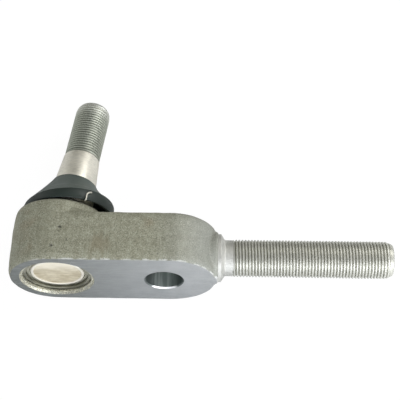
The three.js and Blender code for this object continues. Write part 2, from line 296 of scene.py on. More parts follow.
class Nodes:
    """Small helper that writes a material's node tree from top to bottom."""

    def __init__(self, name):
        self.material = bpy.data.materials.new(name)
        self.material.use_nodes = True
        self.tree = self.material.node_tree
        self.tree.nodes.clear()
        self.out = self.tree.nodes.new("ShaderNodeOutputMaterial")
        self.shader = self.tree.nodes.new("ShaderNodeBsdfPrincipled")
        self.link(self.shader.outputs["BSDF"], self.out.inputs["Surface"])
        self.place = self.tree.nodes.new("ShaderNodeTexCoord").outputs["Object"]

    def link(self, source, target):
        self.tree.links.new(source, target)

    def feed(self, socket, value):
        if isinstance(value, bpy.types.NodeSocket):
            self.link(value, socket)
        else:
            socket.default_value = value

    def set(self, **values):
        for key, value in values.items():
            self.feed(self.shader.inputs[key.replace("_", " ").title().replace("Ior", "IOR")], value)

    def noise(self, millimetres, detail=3.0, roughness=0.55, stretch=None):
        """Noise whose blobs are about that many millimetres across."""
        node = self.tree.nodes.new("ShaderNodeTexNoise")
        node.inputs["Scale"].default_value = 1 / (millimetres * MM)
        node.inputs["Detail"].default_value = detail
        node.inputs["Roughness"].default_value = roughness
        self.link(self.stretched(stretch), node.inputs["Vector"])
        return node.outputs["Fac"]

    def stretched(self, stretch):
        if stretch is None:
            return self.place
        node = self.tree.nodes.new("ShaderNodeMapping")
        node.inputs["Scale"].default_value = stretch
        self.link(self.place, node.inputs["Vector"])
        return node.outputs["Vector"]

    def cells(self, millimetres):
        """Distance to the nearest of scattered points, for pits and specks."""
        node = self.tree.nodes.new("ShaderNodeTexVoronoi")
        node.inputs["Scale"].default_value = 1 / (millimetres * MM)
        self.link(self.place, node.inputs["Vector"])
        return node.outputs["Distance"]

    def math(self, operation, a, b=0.0, c=0.0):
        node = self.tree.nodes.new("ShaderNodeMath")
        node.operation = operation
        for socket, value in zip(node.inputs, (a, b, c)):
            self.feed(socket, value)
        return node.outputs["Value"]

    def ramp(self, value, low, high, to_low=0.0, to_high=1.0):
        """value from low..high spread over to_low..to_high, smoothly, and clamped."""
        node = self.tree.nodes.new("ShaderNodeMapRange")
        node.interpolation_type = "SMOOTHSTEP"
        for key, number in (
            ("From Min", low),
            ("From Max", high),
            ("To Min", to_low),
            ("To Max", to_high),
        ):
            node.inputs[key].default_value = number
        self.link(value, node.inputs["Value"])
        return node.outputs["Result"]

    def mix(self, factor, a, b):
        node = self.tree.nodes.new("ShaderNodeMix")
        node.data_type = "RGBA"
        self.feed(node.inputs["Factor"], factor)
        self.feed(node.inputs["A"], (*a, 1.0) if isinstance(a, tuple) else a)
        self.feed(node.inputs["B"], (*b, 1.0) if isinstance(b, tuple) else b)
        return node.outputs["Result"]

    def axis_distance(self, point, direction):
        """Distance along direction from a point of the row frame, in mm."""
        subtract = self.tree.nodes.new("ShaderNodeVectorMath")
        subtract.operation = "SUBTRACT"
        self.link(self.place, subtract.inputs[0])
        subtract.inputs[1].default_value = tuple(point)
        dot = self.tree.nodes.new("ShaderNodeVectorMath")
        dot.operation = "DOT_PRODUCT"
        self.link(subtract.outputs["Vector"], dot.inputs[0])
        dot.inputs[1].default_value = tuple(Vector(direction) / MM)
        return dot.outputs["Value"]

    def distance_from(self, point):
        """Distance from a point of the row frame, in mm."""
        node = self.tree.nodes.new("ShaderNodeVectorMath")
        node.operation = "DISTANCE"
        self.link(self.place, node.inputs[0])
        node.inputs[1].default_value = tuple(point)
        return self.math("DIVIDE", node.outputs["Value"], MM)

    def radius_from(self, point, direction):
        """Distance from the line through a point of the row frame, in mm."""
        subtract = self.tree.nodes.new("ShaderNodeVectorMath")
        subtract.operation = "SUBTRACT"
        self.link(self.place, subtract.inputs[0])
        subtract.inputs[1].default_value = tuple(point)
        cross = self.tree.nodes.new("ShaderNodeVectorMath")
        cross.operation = "CROSS_PRODUCT"
        self.link(subtract.outputs["Vector"], cross.inputs[0])
        cross.inputs[1].default_value = tuple(Vector(direction) / MM)
        length = self.tree.nodes.new("ShaderNodeVectorMath")
        length.operation = "LENGTH"
        self.link(cross.outputs["Vector"], length.inputs[0])
        return length.outputs["Value"]

    def bump(self, height, strength, distance_mm):
        node = self.tree.nodes.new("ShaderNodeBump")
        node.inputs["Strength"].default_value = strength
        node.inputs["Distance"].default_value = distance_mm * MM
        self.link(height, node.inputs["Height"])
        return node.outputs["Normal"]


def forged_steel():
    """Shot-blasted forging skin: olive grey and finely grained, with faint upright streaks,
    a few dark pits and brown patches, painted shade with grease just under the boss's top,
    and a bright burr along the machined face that is partly a painted highlight."""
    n = Nodes("forged_steel")
    broad = n.noise(26, detail=2)
    mottled = n.noise(5, detail=4, roughness=0.6)
    streaks = n.noise(1.5, detail=2, stretch=(1.0, 0.10, 0.25))
    fine = n.noise(0.75, detail=3, roughness=0.7)
    along = n.axis_distance(BALL, SHANK_AXIS)
    colour = n.mix(n.ramp(mottled, 0.3, 0.7), (0.262, 0.260, 0.190), (0.338, 0.341, 0.262))
    colour = n.mix(n.ramp(streaks, 0.35, 0.70, 0.0, 0.35), colour, (0.42, 0.425, 0.34))
    colour = n.mix(n.ramp(broad, 0.58, 0.74, 0.0, 0.40), colour, (0.27, 0.205, 0.125))
    colour = n.mix(n.ramp(fine, 0.53, 0.70, 0.0, 0.70), colour, (0.62, 0.62, 0.53))
    colour = n.mix(n.ramp(fine, 0.30, 0.47, 0.85, 0.0), colour, (0.09, 0.09, 0.07))
    colour = n.mix(n.ramp(along, 55, 96, 0.0, 0.55), colour, (0.27, 0.285, 0.285))
    pits = n.ramp(n.cells(13), 0.045, 0.085, 1.0, 0.0)
    pits = n.math("MULTIPLY", pits, n.ramp(mottled, 0.45, 0.6))
    for x, y, size in ((3.6, -2.2, 1.5), (-0.4, -15.2, 1.6), (8.6, -11.2, 1.2), (80.0, -21.0, 1.3)):
        away = n.distance_from(BALL + Vector((x, y, HALF_WIDTH)) * MM)
        away = n.math("ADD", away, n.math("MULTIPLY", fine, 2.4))
        pits = n.math("MAXIMUM", pits, n.ramp(away, size, size + 1.0, 1.0, 0.0))
    colour = n.mix(n.math("MULTIPLY", pits, 0.80), colour, (0.035, 0.035, 0.030))
    rust = n.distance_from(BALL + Vector((29, -14, HALF_WIDTH)) * MM)
    rust = n.ramp(n.math("ADD", rust, n.math("MULTIPLY", streaks, 18)), 11, 18, 0.42, 0.0)
    colour = n.mix(rust, colour, (0.225, 0.185, 0.115))
    # Painted shade under the boot's lip, with grease: the forging turns almost black just below the
    # boss's top.
    top_edge = n.axis_distance(BALL + Vector((0, BOSS_TOP_Y * MM, 0)), SOCKET_AXIS)
    grease_and_shade = n.ramp(n.math("ADD", top_edge, n.math("MULTIPLY", fine, 0.8)), -1.3, -0.4)
    colour = n.mix(grease_and_shade, colour, (0.016, 0.017, 0.015))
    # Bright burr along the machined face, partly bare steel and partly a painted highlight that
    # fades towards the eye's end.
    from_face = n.axis_distance(BALL + Vector((0, FACE_Y * MM, 0)), SOCKET_AXIS)
    burr_and_highlight = n.ramp(n.math("ADD", from_face, n.math("MULTIPLY", fine, -1.1)), 0.0, 0.45, 1.0, 0.0)
    burr_and_highlight = n.math("MULTIPLY", burr_and_highlight, n.ramp(mottled, 0.40, 0.58))
    burr_and_highlight = n.math("MULTIPLY", burr_and_highlight, n.ramp(along, -22, 0, 0.05, 0.8))
    colour = n.mix(burr_and_highlight, colour, (0.66, 0.67, 0.66))
    depth = n.math("ADD", n.math("MULTIPLY", mottled, 0.5), n.math("MULTIPLY", fine, 0.6))
    depth = n.math("SUBTRACT", depth, pits)
    n.set(
        base_color=colour,
        metallic=0.35,
        roughness=n.ramp(fine, 0.3, 0.7, 0.70, 0.55),
        normal=n.bump(depth, 0.7, 0.40),
    )
    return n.material


def machined_steel(name, light, dark, roughness, stretch, streak_mm=0.5):
    """Cut steel with fine tool marks, lengthened across the stretch's small numbers."""
    n = Nodes(name)
    marks = n.noise(streak_mm, detail=3, stretch=stretch)
    cloud = n.noise(9, detail=3)
    colour = n.mix(n.ramp(cloud, 0.35, 0.65), dark, light)
    colour = n.mix(n.ramp(marks, 0.35, 0.65, 0.0, 0.18), colour, (0.16, 0.17, 0.17))
    n.set(
        base_color=colour,
        metallic=0.85,
        roughness=n.ramp(cloud, 0.3, 0.7, roughness - 0.05, roughness + 0.07),
        normal=n.bump(marks, 0.25, 0.06),
    )
    return n.material


def face_steel():
    """Milled face: fine marks along the arm; darker round the socket and lighter towards the shank,
    partly dirt and partly painted light and shade.
    """
    n = Nodes("machined_face")
    marks = n.noise(0.8, detail=3, stretch=(0.12, 1.0, 1.0))
    cloud = n.noise(12, detail=3)
    grain = n.noise(0.7, detail=2)
    along = n.axis_distance(BALL, SHANK_AXIS)
    # Painted light and shade, partly discolouration: the face darkens towards the socket and
    # lightens towards the shank.
    colour = n.mix(n.ramp(along, -30, 95), (0.165, 0.178, 0.170), (0.455, 0.465, 0.47))
    colour = n.mix(n.ramp(cloud, 0.3, 0.7, 0.0, 0.35), colour, (0.26, 0.275, 0.275))
    colour = n.mix(n.ramp(marks, 0.40, 0.65, 0.0, 0.22), colour, (0.50, 0.52, 0.52))
    colour = n.mix(n.ramp(grain, 0.55, 0.75, 0.0, 0.25), colour, (0.15, 0.16, 0.16))
    n.set(
        base_color=colour,
        metallic=0.8,
        roughness=n.ramp(cloud, 0.3, 0.7, 0.40, 0.50),
        normal=n.bump(n.math("ADD", marks, grain), 0.25, 0.05),
    )
    return n.material


def thread_steel(name, point, axis, end_mm, light, root):
    """Rolled thread: bright worn crests, roots darkened with painted shade, and lighter towards its
    end.
    """
    n = Nodes(name)
    height = n.radius_from(point, axis)
    cloud = n.noise(7, detail=3)
    grime = n.noise(2.2, detail=3, roughness=0.6)
    # Painted shade: the roots are darker than the crests.
    colour = n.mix(n.ramp(height, THREAD_CREST - 0.95, THREAD_CREST - 0.25), root, light)
    colour = n.mix(n.ramp(grime, 0.5, 0.75, 0.0, 0.3), colour, tuple(0.55 * c for c in light))
    near_end = n.ramp(n.axis_distance(BALL, axis), end_mm - 14, end_mm - 4, 0.0, 0.6)
    colour = n.mix(near_end, colour, (0.80, 0.80, 0.75))
    n.set(
        base_color=colour,
        metallic=0.85,
        roughness=n.ramp(cloud, 0.3, 0.7, 0.42, 0.52),
        normal=n.bump(grime, 0.15, 0.08),
    )
    return n.material


def cover_steel():
    """Yellow-passivated pressed cover: faint straight streaks inside a pale bead, painted light
    that pales its upper half, and a dark rim with fine turned lines."""
    n = Nodes("cover_steel")
    streaks = n.noise(1.1, detail=3, stretch=(0.12, 1.0, 1.0))
    cloud = n.noise(6, detail=3)
    colour = n.mix(n.ramp(cloud, 0.3, 0.7), (0.52, 0.455, 0.325), (0.68, 0.62, 0.475))
    colour = n.mix(n.ramp(streaks, 0.46, 0.66, 0.0, 0.60), colour, (0.37, 0.30, 0.18))
    specks = n.ramp(n.cells(4.5), 0.05, 0.09, 1.0, 0.0)
    colour = n.mix(n.math("MULTIPLY", specks, 0.6), colour, (0.10, 0.09, 0.06))
    out = n.radius_from(BALL, SOCKET_AXIS)
    # Painted light: the cover pales towards its top.
    upper = n.ramp(n.axis_distance(BALL, (0, 0, 1)), 0, 12, 0.0, 0.75)
    colour = n.mix(upper, colour, (0.95, 0.90, 0.77))
    colour = n.mix(n.ramp(out, 15.0, 15.6, 0.0, 0.8), colour, (0.86, 0.83, 0.75))
    flange = n.mix(n.ramp(cloud, 0.4, 0.6), (0.20, 0.195, 0.14), (0.34, 0.335, 0.26))
    turns = n.math("SINE", n.math("MULTIPLY", out, 7.0))
    flange = n.mix(n.ramp(turns, 0.2, 0.9, 0.0, 0.75), flange, (0.62, 0.61, 0.53))
    colour = n.mix(n.ramp(out, 16.9, 17.4), colour, flange)
    n.set(
        base_color=colour,
        metallic=0.5,
        roughness=n.ramp(streaks, 0.3, 0.7, 0.38, 0.5),
        normal=n.bump(streaks, 0.2, 0.1),
    )
    return n.material


def bore_steel():
    """The drilled cross hole, its walls and chamfer with painted light and shade, and the socket:
    turned rings under an olive film at its mouth, and grease with painted shade at its other end and
    on the boss's top."""
    n = Nodes("turned_bore")
    near_socket = n.ramp(n.radius_from(BALL, SOCKET_AXIS), 26.5, 27.5, 1.0, 0.0)
    rings = n.noise(0.6, detail=2, stretch=(0.25, 1.0, 0.25))
    scores = n.noise(2.6, detail=3, stretch=(1.0, 0.06, 1.0))
    cloud = n.noise(4, detail=4, roughness=0.65)
    fine = n.noise(0.8, detail=3, roughness=0.7)
    turned_colour = n.mix(n.ramp(rings, 0.35, 0.65), (0.24, 0.265, 0.255), (0.50, 0.51, 0.47))
    drilled = n.mix(n.ramp(scores, 0.38, 0.66), (0.36, 0.41, 0.40), (0.66, 0.72, 0.70))
    # Painted shade: the cross hole's walls darken away from its middle.
    aside = n.math("ABSOLUTE", n.axis_distance(BALL + Vector((HOLE_X, 0, 0)) * MM, SHANK_AXIS))
    drilled = n.mix(n.ramp(aside, 4.5, 10.5, 0.0, 0.85), drilled, (0.075, 0.092, 0.09))
    colour = n.mix(near_socket, drilled, turned_colour)
    rough = n.mix(n.ramp(fine, 0.35, 0.65), (0.26, 0.25, 0.185), (0.85, 0.83, 0.70))
    near_mouth = n.ramp(n.axis_distance(BALL, SOCKET_AXIS), -21.6, -19.0, 1.0, 0.0)
    film = n.math("MULTIPLY", near_mouth, near_socket)
    colour = n.mix(n.math("MULTIPLY", film, n.ramp(cloud, 0.3, 0.6, 0.5, 1.0)), colour, rough)
    from_face = n.axis_distance(BALL + Vector((0, FACE_Y * MM, 0)), SOCKET_AXIS)
    # Painted highlight and shade on the cross hole's chamfer: white on its lower crescent, dark
    # above.
    lower = n.ramp(n.axis_distance(BALL, (0, 0, 1)), -11.0, -8.8, 1.0, 0.0)
    edge = n.math("SUBTRACT", n.ramp(from_face, 0.85, 1.05, 1.0, 0.0), near_socket)
    colour = n.mix(edge, colour, n.mix(lower, (0.13, 0.15, 0.145), (1.0, 1.0, 1.0)))
    # Painted shade under the boot's lip, with grease: nearly black at the socket's far end and on
    # the boss's top.
    grease_and_shade = n.ramp(n.axis_distance(BALL, SOCKET_AXIS), 11.0, 15.0)
    colour = n.mix(grease_and_shade, colour, (0.012, 0.013, 0.012))
    n.set(
        base_color=colour,
        metallic=0.75,
        roughness=n.ramp(cloud, 0.3, 0.7, 0.34, 0.50),
        normal=n.bump(n.math("ADD", rings, fine), 0.35, 0.10),
    )
    return n.material


def rubber(name, dark, light, roughness, band_top=None):
    """Moulded rubber with a dusty bloom and a fine grain; its lip band is darker, partly a cleaner
    surface and partly painted shade.
    """
    n = Nodes(name)
    bloom = n.noise(5, detail=3)
    grain = n.noise(0.55, detail=3, roughness=0.6)
    scuffs = n.noise(1.6, detail=4, roughness=0.7)
    colour = n.mix(n.ramp(bloom, 0.3, 0.7), dark, light)
    colour = n.mix(n.ramp(scuffs, 0.6, 0.8, 0.0, 0.3), colour, (0.16, 0.18, 0.17))
    if band_top is not None:
        # Lip band darker, partly a cleaner surface and partly painted shade.
        above = n.axis_distance(BALL + Vector((LIP_X, band_top, 0)) * MM, LIP_TOP_AXIS)
        band = n.ramp(above, -0.5, 0.4, 1.0, 0.0)
        colour = n.mix(n.math("MULTIPLY", band, 0.9), colour, (0.007, 0.015, 0.012))
    n.set(
        base_color=colour,
        metallic=0.0,
        roughness=n.ramp(bloom, 0.3, 0.7, roughness - 0.05, roughness + 0.08),
        specular_ior_level=0.45,
        normal=n.bump(n.math("ADD", grain, n.math("MULTIPLY", scuffs, 0.5)), 0.3, 0.12),
    )
    return n.material


def wire_steel():
    """Plated spring wire, bright on its free end outside the lip and nearly black inside the lip."""
    n = Nodes("lip_wire")
    fine = n.noise(0.6, detail=2)
    out = n.radius_from(BALL + Vector((LIP_X * MM, 0, 0)), SOCKET_AXIS)
    bright = n.mix(n.ramp(fine, 0.35, 0.65), (0.52, 0.50, 0.44), (0.70, 0.68, 0.61))
    colour = n.mix(n.ramp(out, LIP_RADIUS - 1.0, LIP_RADIUS), (0.03, 0.032, 0.03), bright)
    n.set(
        base_color=colour,
        metallic=0.6,
        roughness=n.ramp(fine, 0.3, 0.7, 0.35, 0.45),
        normal=n.bump(fine, 0.2, 0.05),
    )
    return n.material


FORGED = forged_steel()
FACE = face_steel()
BORE = bore_steel()
PLAIN = machined_steel(
    "turned_shank", (0.62, 0.62, 0.59), (0.52, 0.52, 0.49), 0.58, (1.0, 0.2, 0.2)
)
TAPER = machined_steel(
    "ground_taper", (0.92, 0.89, 0.80), (0.85, 0.82, 0.73), 0.46, (0.2, 1.0, 0.2), 0.6
)
SEAT = machined_steel(
    "bearing_seat_steel", (0.36, 0.36, 0.33), (0.27, 0.27, 0.25), 0.35, (0.3, 1.0, 0.3)
)
SPRING = machined_steel(
    "spring_steel", (0.38, 0.37, 0.30), (0.20, 0.20, 0.155), 0.36, (0.3, 1.0, 0.3)
)
WIRE = wire_steel()
SHANK_THREAD = thread_steel(
    "shank_thread",
    BALL + Vector((0, SHANK_Y * MM, 0)),
    SHANK_AXIS,
    221.0,
    (0.60, 0.60, 0.555),
    (0.34, 0.34, 0.29),
)
STUD_THREAD = thread_steel(
    "stud_thread", BALL, STUD_AXIS, 114.5, (0.46, 0.48, 0.415), (0.15, 0.16, 0.135)
)
COVER = cover_steel()
BOOT = rubber(
    "boot_rubber", (0.048, 0.068, 0.062), (0.074, 0.096, 0.086), 0.50, band_top=LIP_TOP
)
SEAL = rubber("seal_rubber", (0.010, 0.011, 0.011), (0.020, 0.021, 0.020), 0.6)


def dress(obj, material, body, slot_name, *nodes, sharp_degrees=32):
    if not obj.data.materials:
        obj.data.materials.append(material)
    shade(obj, sharp_degrees)
    if body is not None:
        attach(obj, body)
    if nodes:
        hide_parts(*nodes)
    return obj


# ---------------------------------------------------------------- forged housing


def stadium(name, side):
    """A bar with round ends, its half width following the (half width, Y) points."""
    steps = 48
    points = []
    for half, y in side:
        for i in range(steps + 1):
            angle = -math.pi / 2 + math.pi * i / steps
            points.append(
                (SHANK_END_X + half * math.cos(angle), y, half * math.sin(angle))
            )
        for i in range(steps + 1):
            angle = math.pi / 2 + math.pi * i / steps
            points.append((EYE_END_X + half * math.cos(angle), y, half * math.sin(angle)))
    ring = 2 * (steps + 1)
    faces = grid_faces(len(side), ring, close_columns=True)
    faces.append(tuple(range(ring)))
    faces.append(tuple(range((len(side) - 1) * ring, len(side) * ring)))
    return make(name, points, faces)


def forged_blank():
    """Arm, eye and the blend between them, fused, worn soft and slightly uneven."""
    below = FACE_Y - 2.0
    arm = stadium(
        "housing_forging",
        [
            (HALF_WIDTH - 2.2, below),
            (HALF_WIDTH - 1.4, FACE_Y),
            (HALF_WIDTH - 0.45, FACE_Y + 2.0),
            (HALF_WIDTH, FACE_Y + 4.0),
            (HALF_WIDTH, 4.5),
            (HALF_WIDTH - 0.3, 7.0),
            (HALF_WIDTH - 0.9, 9.0),
            (HALF_WIDTH - 2.1, ARM_BACK_Y),
        ],
    )
    eye_side = [
        (HALF_WIDTH, 4.0),
        (HALF_WIDTH - 0.1, 8.0),
        (HALF_WIDTH - 0.4, 12.5),
        (HALF_WIDTH - 0.8, 16.5),
    ]
    eye_top = arc(HALF_WIDTH - 2.8, BOSS_TOP_Y - 1.6, 1.6, 20, 90, 5)
    eye = turned(
        "eye",
        [(0, 4.0), *eye_side, *eye_top, (0, BOSS_TOP_Y)],
        closed=False,
        soften=0.4,
        transform=Matrix.Translation((EYE_END_X, 0, 0)),
    )
    fillet = arc(35.7, ARM_BACK_Y + 7, 7, 270, 205, 8)
    blend = turned(
        "blend",
        [(0, 8.0), (35.5, 8.0), *fillet, (0, fillet[-1][1])],
        closed=False,
        soften=0.1,
        transform=Matrix.Translation((EYE_END_X, 0, 0)),
    )
    inside = stadium(
        "inside", [(HALF_WIDTH - 1.4, 6.0), (HALF_WIDTH - 2.4, fillet[-1][1] + 1)]
    )
    trim = blend.modifiers.new("trim", "BOOLEAN")
    trim.operation = "INTERSECT"
    trim.solver = "EXACT"
    trim.object = inside
    apply_modifiers(blend)
    remove(inside)

    root = turned(
        "root",
        [(0, 84.0), (17.4, 84.0), (17.4, 97.0), (17.0, 101.6), (16.2, 102.8), (0, 102.8)],
        closed=False,
        soften=0.6,
        transform=rotation_to(SHANK_AXIS, (0, SHANK_Y, 0)),
    )

    bpy.context.view_layer.objects.active = arm
    with bpy.context.temp_override(
        active_object=arm, selected_editable_objects=[arm, eye, blend, root]
    ):
        bpy.ops.object.join()
    remesh = arm.modifiers.new("fuse", "REMESH")
    remesh.mode = "VOXEL"
    remesh.voxel_size = 0.55 * MM
    smooth = arm.modifiers.new("wear", "SMOOTH")
    smooth.factor = 0.5
    smooth.iterations = 4
    apply_modifiers(arm)

    mesh = arm.data
    normals = [vertex.normal.copy() for vertex in mesh.vertices]
    for vertex, normal in zip(mesh.vertices, normals):
        place = vertex.co / MM
        depth = 0.16 * (unevenness(place, 11, 1) - 0.57)
        depth += 0.10 * (unevenness(place, 3.4, 2) - 0.58)
        vertex.co += normal * depth * MM
    mesh.materials.clear()
    mesh.materials.append(FORGED)
    return arm


def machine(blank):
    """The faces and holes that are cut after forging."""
    far = 12.0
    slab = turned(
        "slab",
        [(0, FACE_Y - far), (200, FACE_Y - far), (200, FACE_Y), (0, FACE_Y)],
        closed=False,
        soften=0,
    )
    cut(blank, slab, FACE)
    top = turned(
        "top",
        [
            (0, BOSS_TOP_Y - 0.12),
            (40, BOSS_TOP_Y - 0.12),
            (40, BOSS_TOP_Y + 5),
            (0, BOSS_TOP_Y + 5),
        ],
        closed=False,
        soften=0,
    )
    cut(blank, top, BORE)
    cut(
        blank,
        turned(
            "socket",
            [
                (0, FACE_Y - 2),
                (25.4, FACE_Y - 2),
                (23.75, FACE_Y + 0.1),
                (22.9, FACE_Y + 1.5),
                (SOCKET_RADIUS, FACE_Y + 1.55),
                (SOCKET_RADIUS, -21.4),
                (23.6, -21.4),
                (23.6, -19.2),
                (SOCKET_RADIUS, -19.2),
                (SOCKET_RADIUS, 9.0),
                (16.3, 9.0),
                (16.3, 10.2),
                (21.4, BOSS_TOP_Y - 0.1),
                (22.4, BOSS_TOP_Y + 2),
                (0, BOSS_TOP_Y + 2),
            ],
            closed=False,
            soften=0,
        ),
        BORE,
    )
    cut(
        blank,
        turned(
            "cross_hole",
            [
                (0, FACE_Y - 1),
                (13.5, FACE_Y - 1),
                (HOLE_RADIUS, FACE_Y + 0.85),
                (HOLE_RADIUS, ARM_BACK_Y - 0.7),
                (13.7, ARM_BACK_Y + 1),
                (0, ARM_BACK_Y + 1),
            ],
            closed=False,
            soften=0,
            transform=Matrix.Translation((HOLE_X, 0, 0)),
        ),
        BORE,
    )
    return blank


forging = machine(forged_blank())
dress(forging, FORGED, "rod_end", "forged_steel", "housing", sharp_degrees=38)


def shank():
    """Turned collar, neck and M24x2 thread, growing out of the forged root."""
    start, full, chamfer = 112.2, 113.2, 210.2
    before = [
        (0, 88.0),
        (15.5, 88.0),
        (15.5, 104.6),
        (12.2, 106.6),
        (11.6, 107.4),
        (11.6, start - 0.01),
    ]
    after = [(9.9, SHANK_END - 0.01), (9.3, SHANK_END), (0, SHANK_END)]
    envelope = [
        (11.6, start),
        (THREAD_CREST, full),
        (THREAD_CREST, chamfer),
        (10.3, SHANK_END - 0.5),
        (9.9, SHANK_END),
    ]
    rod = threaded_rod(
        "housing_shank",
        before,
        after,
        start,
        SHANK_END - 0.02,
        envelope,
        rotation_to(SHANK_AXIS, (0, SHANK_Y, 0)),
    )
    rod.data.materials.append(SHANK_THREAD)
    rod.data.materials.append(PLAIN)
    limit = BALL.x + start * MM
    for polygon in rod.data.polygons:
        polygon.material_index = 0 if polygon.center.x > limit else 1
    return rod


dress(shank(), SHANK_THREAD, "rod_end", "forged_steel", "housing")


# ---------------------------------------------------------------- inside the socket


def latitude(y):
    return math.degrees(math.asin(y / SEAT_RADIUS))


def seat(node):
    low, high = span(node, 1)
    outer = span(node, 2)[1]
    sphere = arc(0, 0, SEAT_RADIUS, latitude(high), latitude(low), 16)
    piece = turned(node + "_piece", [(outer, low), (outer, high), *sphere], soften=0.3)
    return dress(piece, SEAT, "rod_end", "seat_steel", node)


seat("upper_bearing_seat")
seat("lower_bearing_seat")

spring_low, spring_high = span("preload_disc_spring", 1)
spring_outer = span("preload_disc_spring", 2)[1]
disc_spring = turned(
    "preload_disc_spring_piece",
    [
        (spring_outer, spring_high),
        (spring_outer, spring_high - 1.5),
        (15.2, spring_low),
        (15.2, spring_low + 1.5),
    ],
    soften=0.3,
)
dress(disc_spring, SPRING, "rod_end", "spring_steel", "preload_disc_spring")

cover_low, cover_high = span("closing_cover", 1)
cover_outer = span("closing_cover", 2)[1]
closing_cover = turned(
    "closing_cover_piece",
    [
        (0, -18.3),
        (14.8, -18.3),
        (14.8, cover_high),
        (cover_outer, cover_high),
        (cover_outer, -15.9),
        (20.1, -15.9),
        (20.1, -17.9),
        (cover_outer, -17.9),
        (cover_outer, -19.15),
        (18.2, -19.2),
        (17.5, -18.6),
        (17.2, -18.7),
        (17.1, cover_low + 0.5),
        (16.7, cover_low + 0.05),
        (16.0, cover_low),
        (15.4, cover_low + 0.25),
        (14.9, cover_low + 0.6),
        (0, cover_low + 0.52),
    ],
    closed=False,
    soften=0.35,
)
dress(closing_cover, COVER, "rod_end", "cover_steel", "closing_cover")

seal_y = sum(span("cover_seal_ring", 1)) / 2
cover_seal = turned(
    "cover_seal_ring_piece", arc(20.95, seal_y, 0.59, 0, 345, 23), soften=0
)
dress(cover_seal, SEAL, "rod_end", "seal_rubber", "cover_seal_ring")


def retaining_ring():
    """Open spring ring, its ends left square across the mouth at the top."""
    low, high = span("retaining_ring", 1)
    outer, inner, half_mouth = 23.2, 19.7, 3.6
    section = softened([(inner, low), (outer, low), (outer, high), (inner, high)], 0.25, True)
    gap = math.asin(half_mouth / outer)
    steps = 120
    points = []
    for i in range(steps + 1):
        angle = math.pi / 2 + gap + (TAU - 2 * gap) * i / steps
        for r, y in section:
            points.append((r * math.cos(angle), y, r * math.sin(angle)))
    faces = grid_faces(steps + 1, len(section), close_columns=True)
    faces.append(tuple(range(len(section))))
    faces.append(tuple(range(steps * len(section), (steps + 1) * len(section))))
    return make("retaining_ring_piece", points, faces)


dress(retaining_ring(), SPRING, "rod_end", "spring_steel", "retaining_ring")


# ---------------------------------------------------------------- ball stud


def taper_radius(along):
    """Radius of the stud's 1 in 6 taper at a distance from the ball's centre."""
    return TAPER_END_RADIUS + (TAPER_END - along) / 12


def ball_stud():
    """Ball, neck, taper, M24x2 thread and rounded end, along the stud's axis."""
    radius, neck, base, top = 18.0, 10.0, 34.0, TAPER_END
    crest, thread_end, end = THREAD_CREST, 108.9, 114.5
    taper_base = taper_radius(base)
    neck_angle = math.degrees(math.acos(neck / radius))
    ball = arc(0, 0, radius, -90, neck_angle, 40)
    ball[0] = (0, -radius)
    before = [
        *ball,
        (neck, 28.0),
        (taper_base - 1.6, base - 1.6),
        (taper_base, base),
        (TAPER_END_RADIUS, top),
        (crest - 0.75, top + 0.8),
        (crest - 0.75, top + 1.2),
    ]
    nose = arc(crest - 6, end - 5.6, 5.8, 20, 75, 6)
    envelope = [
        (crest - 0.75, top + 1.2),
        (crest, top + 2.2),
        (crest, thread_end - 0.8),
        (crest - 0.35, thread_end + 1.0),
        *nose[:3],
    ]
    after = [*nose[3:], (6.0, end), (5.2, end - 0.35), (0, end - 0.35)]
    stud = threaded_rod(
        "ball_stud_piece",
        before,
        after,
        top + 1.21,
        nose[2][1],
        envelope,
        rotation_to(STUD_AXIS),
    )
    stud.data.materials.append(STUD_THREAD)
    stud.data.materials.append(TAPER)
    for polygon in stud.data.polygons:
        along = (polygon.center - BALL).dot(STUD_AXIS) / MM
        polygon.material_index = 0 if along > top + 0.3 else 1
    return stud


dress(ball_stud(), STUD_THREAD, "stud", "ground_steel", "ball_stud")

neck_ring = turned(
    "boot_neck_ring_piece",
    [(15.2, 39.6), (16.2, 39.6), (16.2, 42.0), (15.2, 42.0)],
    soften=0.2,
    transform=rotation_to(STUD_AXIS),
)
dress(neck_ring, SPRING, "boot_neck", "spring_steel", "boot_neck_ring")


# ---------------------------------------------------------------- boot


def ring_of(centre, axis, radius):
    """Points of a circle square to axis, starting on its +X side."""
    across = (SHANK_AXIS - axis * axis.x).normalized()
    up = across.cross(axis)
    angles = [TAU * j / SEGMENTS for j in range(SEGMENTS)]
    return [centre + (across * math.cos(a) + up * math.sin(a)) * radius for a in angles]


def boot_between(name, rings):
    points = [p for ring in rings for p in ring]
    faces = grid_faces(len(rings), SEGMENTS, close_rows=True, close_columns=True)
    return make(name, points, faces)


def lip_ring(y, radius, axis=SOCKET_AXIS):
    return ring_of(Vector((LIP_X, y, 0)), axis, radius)


def neck_level(along, radius):
    return ring_of(STUD_AXIS * along, STUD_AXIS, radius)


def cone_frame(share):
    """Centre and axis of the cone, part of the way from the lip's top to the neck."""
    centre = Vector((LIP_X, LIP_TOP, 0)).lerp(STUD_AXIS * (BOOT_TOP - 1.0), share)
    return centre, LIP_TOP_AXIS.lerp(STUD_AXIS, share).normalized()


def cone(share, offset=0.0):
    """A ring of the cone, which is slightly hollow between its ends."""
    centre, axis = cone_frame(share)
    straight = (LIP_RADIUS - 0.5) * (1 - share) + 15.5 * share
    return ring_of(centre, axis, straight - 0.9 * math.sin(math.pi * share) - offset)


SPLIT = 0.34  # where on the cone the boot's two halves meet
LIP_FOOT = BOSS_TOP_Y + 0.25
lower_shares = [SPLIT * i / 6 for i in range(1, 7)]
upper_shares = [SPLIT + (1 - SPLIT) * i / 8 for i in range(1, 8)]

